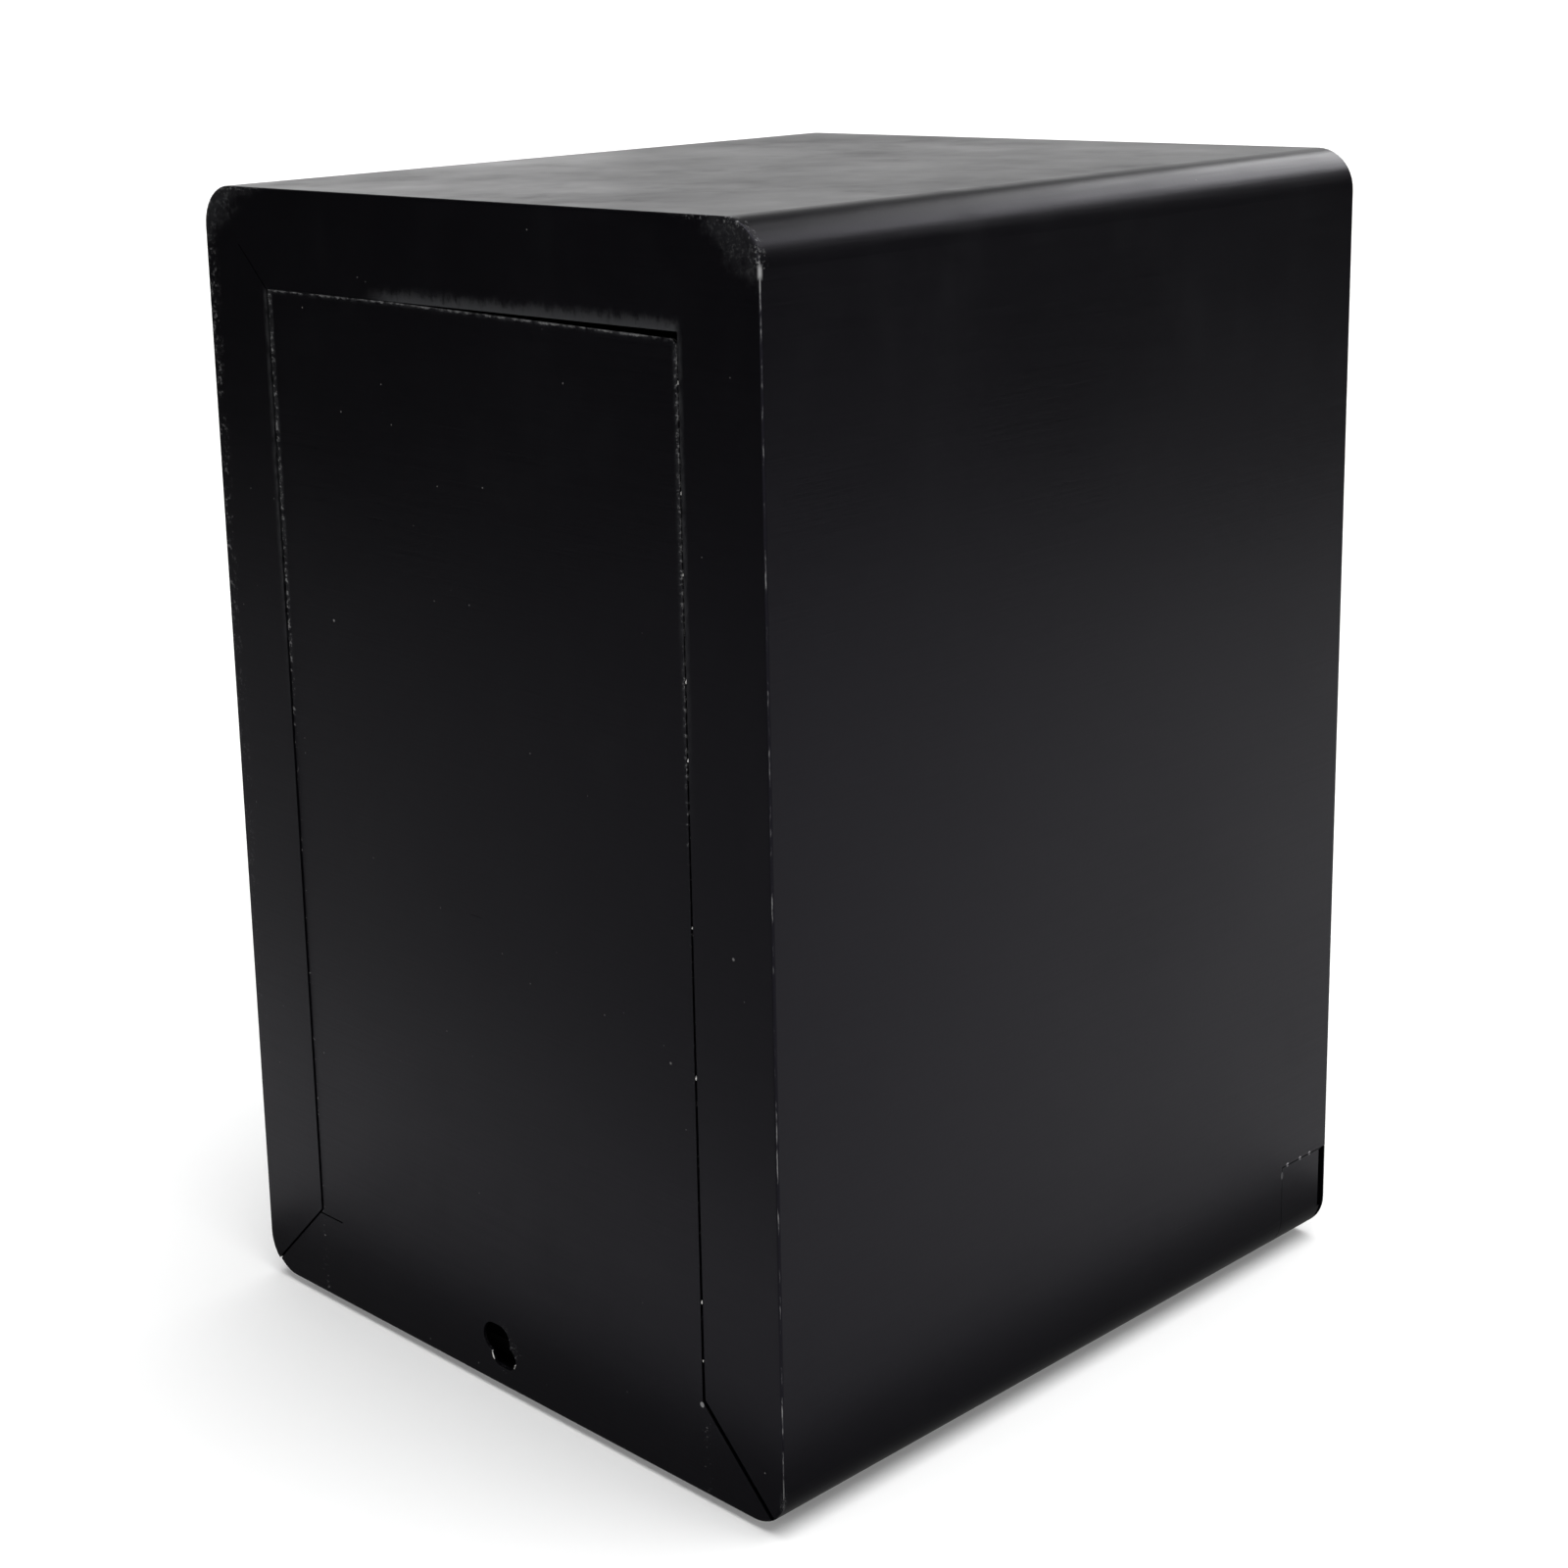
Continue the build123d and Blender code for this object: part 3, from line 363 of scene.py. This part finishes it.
def body_marks(place):
    """Chips on the upright rear folds, rough welded corners, dry spray and a painted highlight by the rear
    opening.
    """
    x, y, z = axes(place)
    off_side = half_width - x.size()
    off_back = back_y - y
    fine = place.noise(1500, 3, 0.7)
    chips = place.stretched((1, 1, 0.25)).noise(300, 4, 0.7)
    weld_bare, weld_dry = corner_welds(place, x, z, off_side, off_back, chips)
    bare = fold_chips(x, z, off_side, off_back, fine, chips).at_least(weld_bare)
    bare = bare.at_least(ear_spots(x, y, z) * 0.85)
    dry_paint_and_highlight = opening_haze_and_seam_highlight(place, x, z, off_back).at_least(weld_dry)
    return bare.at_most(1.0), dry_paint_and_highlight.at_most(1.0)


def panel_marks(place):
    """A burred top edge, and dry, spotted paint with a painted highlight down the two seams of the rear
    panel.
    """
    x, y, z = axes(place)
    fine = place.noise(1300, 4, 0.7)
    chips = place.stretched((0.7, 1, 1)).noise(420, 4, 0.72)
    drop = x.ramp_line(panel_drop_start, -seam, panel_drop_tight, panel_drop_open)
    off_top = (panel_top - z) - drop
    near_top = off_top.ramp(2.6 * MM, 0.2 * MM)
    coarse = place.stretched((0.5, 1, 1)).noise(190, 5, 0.75)
    burr = (near_top * 0.30 + chips * 0.5 + coarse * 0.6).ramp(0.78, 1.02) * off_top.ramp(3.6 * MM, 1.8 * MM)
    off_seam = (seam - x.size()).size()
    upper = z.ramp(floor_z + height * 0.46, floor_z + height * 0.62)
    spots = off_seam.ramp(4.0 * MM, 1.2 * MM) * (chips + upper * 0.09).ramp(0.60, 0.72)
    smear = place.stretched((1, 1, 0.5)).noise(220, 5, 0.72)
    # A lighter grey band beside the seams in the upper half: a painted highlight of the flange edges.
    panel_seam_highlight = off_seam.ramp(5.5 * MM, 1.4 * MM) * z.ramp(floor_z + height * 0.50, floor_z + height * 0.74)
    from_hole = x.size() + (z - (floor_z + hole_height)).size()
    hole = from_hole.ramp(17 * MM, 11 * MM)
    rim_spots = hole * fine.ramp(0.60, 0.66)
    inner_corner = spot(x, z, -seam + 3.2 * MM, mitre_foot - 4 * MM, 1.5 * MM)
    bare = (burr * 0.75).at_least(spots * 0.6).at_least(rim_spots * 0.7).at_least(inner_corner * 0.8)
    dry_paint_and_highlight = (panel_seam_highlight * smear.ramp(0.30, 0.62) * 0.42).at_least(near_top * 0.4 * smear.ramp(0.4, 0.6))
    return bare.at_most(1.0), dry_paint_and_highlight.at_most(1.0)


body_paint = enamel("body_enamel", marks=body_marks)
panel_paint = enamel("panel_enamel", marks=panel_marks, streak=1.25)
sill_paint = enamel("sill_enamel", marks=sill_marks)
front_paint = enamel("front_enamel", dust=0.6)
inner_paint = enamel("inner_enamel", level=0.008, roughness=0.46, streak=0.6, dust=0.5)
hardware_paint = enamel("hardware_enamel", level=0.008, roughness=0.42, streak=0.2, dust=0.4)
print("paints made:", [m.name for m in bpy.data.materials if "enamel" in m.name])

# %% [markdown]
# ## Metals, rubber and plastic
# Zinc plating is bright with a cloudy, slightly blue bloom. The lock is nickel plated and only
# finely scratched, and the key is tumbled brass. Rubber and the slot's edging are matte with a
# fine grain. Each is a short function of the same few noises.


# %% The other finishes
def plated(name, colour, roughness, bloom, grain):
    """A plated or solid metal: cloudy colour, fine scratches and a little grain."""
    material, place, shader = start_finish(name)
    cloud = place.noise(140, 4, 0.6)
    scratches = place.stretched((300, 300, 2400)).noise(1.0, 3, 0.6)
    dark = tuple(part * (1 - bloom) for part in colour) + (1.0,)
    light = tuple(min(1.0, part * (1 + bloom)) for part in colour) + (1.0,)
    feed(shader, "Base Color", cloud.mix(dark, light))
    feed(shader, "Roughness", roughness + (cloud - 0.5) * 0.2 + (scratches - 0.5) * 0.14)
    feed(shader, "Normal", bump(scratches * 0.6 + cloud * 0.4, grain, 0.0001))
    shader.inputs["Metallic"].default_value = 1.0
    return material


def moulded(name, level, roughness, pebble):
    """Moulded rubber or plastic with a pebbled skin."""
    material, place, shader = start_finish(name)
    cloud = place.noise(18, 4, 0.6)
    pebbles = place.noise(pebble, 2, 0.5)
    scuffs = place.stretched((1, 0.3, 1)).noise(90, 5, 0.7)
    colour = cloud.mix(grey(level * 0.75), grey(level * 1.3, 0.02))
    colour = (scuffs.ramp(0.55, 0.8) * 0.5).mix(colour, grey(level * 3, 0.03))
    feed(shader, "Base Color", colour)
    feed(shader, "Roughness", roughness + (scuffs - 0.5) * 0.15)
    feed(shader, "Normal", bump(pebbles, 0.35, 0.0002))
    shader.inputs["Specular IOR Level"].default_value = 0.35
    return material


zinc = plated("zinc_plate", (0.56, 0.57, 0.58), 0.34, 0.14, 0.10)
nickel = plated("nickel_plate", (0.66, 0.65, 0.63), 0.17, 0.05, 0.05)
brass = plated("key_brass", (0.66, 0.50, 0.24), 0.28, 0.12, 0.10)
bare_steel = plated("bare_steel", (0.66, 0.65, 0.63), 0.30, 0.22, 0.30)
rubber = moulded("black_rubber", 0.016, 0.72, 900)
edging = moulded("slot_edging", 0.013, 0.52, 1600)
print("materials:", len(bpy.data.materials))

# %% [markdown]
# ## Dressing the frame's own pieces
# A CAD piece whose shape is right keeps its mesh and only changes its material. The record says
# which slot each piece belongs to, so the finishes go on by slot, and the pieces with their own
# wear are named after that.

# %% Materials on the frame
by_slot = {
    "black_paint": front_paint,
    "inner_paint": inner_paint,
    "black_hardware": hardware_paint,
    "zinc_steel": zinc,
    "lock_chrome": nickel,
    "key_brass": brass,
    "black_rubber": rubber,
    "trim_plastic": edging,
}
own_finish = {"body_wrap": body_paint, "rear_panel": panel_paint, "front_sill": sill_paint}
for part in frame["record"]["subparts"]:
    mesh = nodes[part["node"]].data
    mesh.materials.clear()
    mesh.materials.append(own_finish.get(part["node"], by_slot[part["material_slot"]]))

# %% [markdown]
# ## Burrs and tacks
# The anchor slot in the rear panel was cut in two strokes and never cleaned up, so a raised burr
# curls round both ends of the lower stroke. The panel was tacked in place before its seams were
# filled, and the tacks show as small bright beads in the wider seam. Each burr is a small disc spun
# part of the way round its end, and each bead is a flattened ball, a little ragged like real spatter.


# %% Small pieces that ride on the box
draw = random.Random(7)


def finished(name, shape, material):
    """Turns a bmesh into an object that rides on the box."""
    bmesh.ops.recalc_face_normals(shape, faces=shape.faces)
    for face in shape.faces:
        face.smooth = True
    mesh = bpy.data.meshes.new(name)
    shape.to_mesh(mesh)
    shape.free()
    mesh.materials.append(material)
    piece = bpy.data.objects.new(name, mesh)
    bpy.context.scene.collection.objects.link(piece)
    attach(piece, "box")
    print(name, "faces", len(mesh.polygons))


def add_burr(shape, middle_x, middle_z, radius, start, turn):
    """A ragged bead round part of a hole's rim, standing just proud of the recessed panel."""
    bead = 0.42 * MM
    ragged = 0.16 * MM
    clear_of_back = 0.05 * MM
    made = bmesh.ops.create_circle(shape, cap_ends=True, segments=8, radius=bead)
    first = math.radians(start)
    spoke = Vector((math.cos(first), 0, math.sin(first)))
    middle = Vector((middle_x, panel_face - 0.1 * MM, middle_z))
    outward = Vector((0, 1, 0))
    turned = Matrix((spoke, outward, spoke.cross(outward))).transposed().to_4x4()
    place = Matrix.Translation(middle + spoke * (radius - 0.15 * MM)) @ turned
    bmesh.ops.transform(shape, matrix=place, verts=made["verts"])
    ring = [face for face in shape.faces if all(v in made["verts"] for v in face.verts)]
    angle = math.radians(turn)
    bmesh.ops.spin(shape, geom=ring, cent=middle, axis=(0, -1, 0), angle=angle, steps=14, use_duplicate=False)
    near = [vert for vert in shape.verts if (vert.co - middle).length < radius + 2 * bead]
    for vert in near:
        vert.co.y = min(vert.co.y + draw.uniform(-ragged, ragged), back_y - clear_of_back)


def add_bead(shape, x, z, wide, tall):
    """One flattened, lumpy ball of weld metal in the seam."""
    made = bmesh.ops.create_icosphere(shape, subdivisions=2, radius=1.0)
    for vert in made["verts"]:
        vert.co *= 1 + draw.uniform(-0.16, 0.16)
    bmesh.ops.scale(shape, vec=(wide, 0.45 * MM, tall), verts=made["verts"])
    bmesh.ops.translate(shape, vec=(x, panel_face, z), verts=made["verts"])


burrs = bmesh.new()
for stroke_x, start, turn in zip(stroke_ends, (-42, -168), (46, 26)):
    add_burr(burrs, stroke_x, stroke_z, stroke_radius, start, turn)
finished("anchor_slot_burrs", burrs, bare_steel)

beads = bmesh.new()
tack_shares = (0.115, 0.165, 0.35, 0.47, 0.60, 0.66, 0.74, 0.80, 0.88)
for height_share in tack_shares:
    bead_z = floor_z + height * height_share
    bead_x = -seam + (1.6 - height_share) * MM
    add_bead(beads, bead_x, bead_z, draw.uniform(0.35, 0.55) * MM, draw.uniform(0.5, 1.2) * MM)
finished("seam_tacks", beads, bare_steel)

# %% [markdown]
# ## The studio
# Black paint shows what stands round it more than its own colour, so the studio matters as much as
# the paint. The floor is white. The sky is a bright band at the horizon that darkens upwards, with
# one very wide soft lamp overhead. The cards are seen by reflections only. Two stand off beside the
# box and darken the upper part of what its upright faces reflect. Two lie on the floor: one greys
# what the rear mirrors, and a small one under the box keeps the lowest folds dark. One closes the
# horizon that the top mirrors, and the soft box draws the light line along the rounded top edge.


# %% Floor, sky, lamp and cards
def card(name, middle, facing, width, tall, level):
    """A flat card that only shows in reflections."""
    shape = bmesh.new()
    bmesh.ops.create_grid(shape, x_segments=1, y_segments=1, size=0.5)
    bmesh.ops.scale(shape, vec=(width, tall, 1), verts=shape.verts)
    turn = Vector(facing).to_track_quat("Z", "Y").to_matrix().to_4x4()
    bmesh.ops.transform(shape, matrix=Matrix.Translation(middle) @ turn, verts=shape.verts)
    mesh = bpy.data.meshes.new(name)
    shape.to_mesh(mesh)
    shape.free()
    piece = bpy.data.objects.new(name, mesh)
    bpy.context.scene.collection.objects.link(piece)
    material, _, shader = start_finish(name)
    shader.inputs["Base Color"].default_value = (0, 0, 0, 1)
    shader.inputs["Roughness"].default_value = 1.0
    shader.inputs["Emission Color"].default_value = (1, 1, 1, 1)
    shader.inputs["Emission Strength"].default_value = level
    shader.inputs["Specular IOR Level"].default_value = 0.0
    mesh.materials.append(material)
    piece.visible_camera = False
    piece.visible_shadow = False
    piece.visible_diffuse = False


def studio_floor(side):
    """A square white floor, lifted a little by its own light so that its shadows stay pale."""
    shape = bmesh.new()
    bmesh.ops.create_grid(shape, x_segments=1, y_segments=1, size=side / 2)
    mesh = bpy.data.meshes.new("floor")
    shape.to_mesh(mesh)
    shape.free()
    floor = bpy.data.objects.new("floor", mesh)
    bpy.context.scene.collection.objects.link(floor)
    material, place, shader = start_finish("floor_white")
    grain = place.noise(6, 3)
    feed(shader, "Base Color", grain.mix(grey(0.88), grey(0.90)))
    shader.inputs["Roughness"].default_value = 0.9
    shader.inputs["Specular IOR Level"].default_value = 0.0
    shader.inputs["Emission Color"].default_value = (1, 1, 1, 1)
    shader.inputs["Emission Strength"].default_value = 0.12
    mesh.materials.append(material)


def studio_sky(horizon, overhead):
    """A bright band at the horizon that fades to a dark sky overhead."""
    world = bpy.data.worlds.new("sky")
    world.use_nodes = True
    bpy.context.scene.world = world
    tree = world.node_tree
    coordinates = tree.nodes.new("ShaderNodeTexCoord")
    direction = Wire(tree, coordinates.outputs["Generated"])
    up = axes(direction)[2]
    sky = up.ramp(0.16, 0.55).mix(grey(horizon), grey(overhead))
    tree.links.new(sky.socket, tree.nodes["Background"].inputs["Color"])


def wide_lamp(strength, spread, direction):
    """A sun so wide that its shadows have no edge."""
    lamp = bpy.data.lights.new("overhead", "SUN")
    lamp.energy = strength
    lamp.angle = math.radians(spread)
    holder = bpy.data.objects.new("overhead", lamp)
    holder.rotation_mode = "QUATERNION"
    holder.rotation_quaternion = Vector(direction).to_track_quat("-Z", "Y")
    bpy.context.scene.collection.objects.link(holder)


studio_floor(240)
studio_sky(1.7, 0.04)
wide_lamp(3.5, 60, (0.2, 0.05, -1))
card("dark_card", (1.35, 1.45, 0.95), (-1, -0.9, 0), 4.4, 2.0, 0.002)
card("grey_card", (-1.6, -1.4, 0.85), (1, 0.9, 0), 4.4, 1.7, 0.09)
card("floor_flag", (1.05, 1.25, 0.02), (0, 0, 1), 2.7, 1.6, 0.50)
card("near_flag", (0, 0.0145, 0.0015), (0, 0, 1), 0.52, 0.56, 0.20)
card("horizon_card", (1.5, -2.9, 0.5), (-0.45, 0.9, 0), 2.6, 1.2, 0.90)
card("soft_box", (-0.45, -2.40, 2.05), (0.15, 1.0, -0.75), 2.4, 0.8, 9.0)
scene = bpy.context.scene
scene.view_settings.view_transform = "Standard"
scene.view_settings.look = "None"
print("studio ready")

# %% [markdown]
# ## The camera
# The box is seen from behind and from one side, from a little above its top. The camera's place is
# given in box heights from the floor point of the far upright rear corner, and its direction by a
# heading, a dip and a slight roll, which is how a tripod head is set.

# %% Camera
camera_across, camera_behind, camera_above = -1.99395, 1.34981, 1.16806
heading, dip, roll = math.radians(-42.652), math.radians(13.396), math.radians(-1.769)
lens, lens_shift = 63.543, (0.09375, -0.1)

camera_data = bpy.data.cameras.new("camera")
camera_data.lens = lens
camera_data.sensor_width = 36
camera_data.shift_x, camera_data.shift_y = lens_shift
camera_data.clip_end = 300
camera = bpy.data.objects.new("camera", camera_data)
forward = Vector((math.cos(dip) * math.cos(heading), math.cos(dip) * math.sin(heading), -math.sin(dip)))
level_right = forward.cross(Vector((0, 0, 1))).normalized()
level_up = level_right.cross(forward)
right = level_right * math.cos(roll) + level_up * math.sin(roll)
up = level_up * math.cos(roll) - level_right * math.sin(roll)
far_corner = Vector((half_width, back_y, floor_z))
place = far_corner + height * Vector((camera_across, camera_behind, camera_above))
turned = Matrix((right, up, -forward)).transposed().to_4x4()
camera.matrix_world = Matrix.Translation(place) @ turned
scene.collection.objects.link(camera)
scene.camera = camera
print("camera at", tuple(round(v, 3) for v in place))
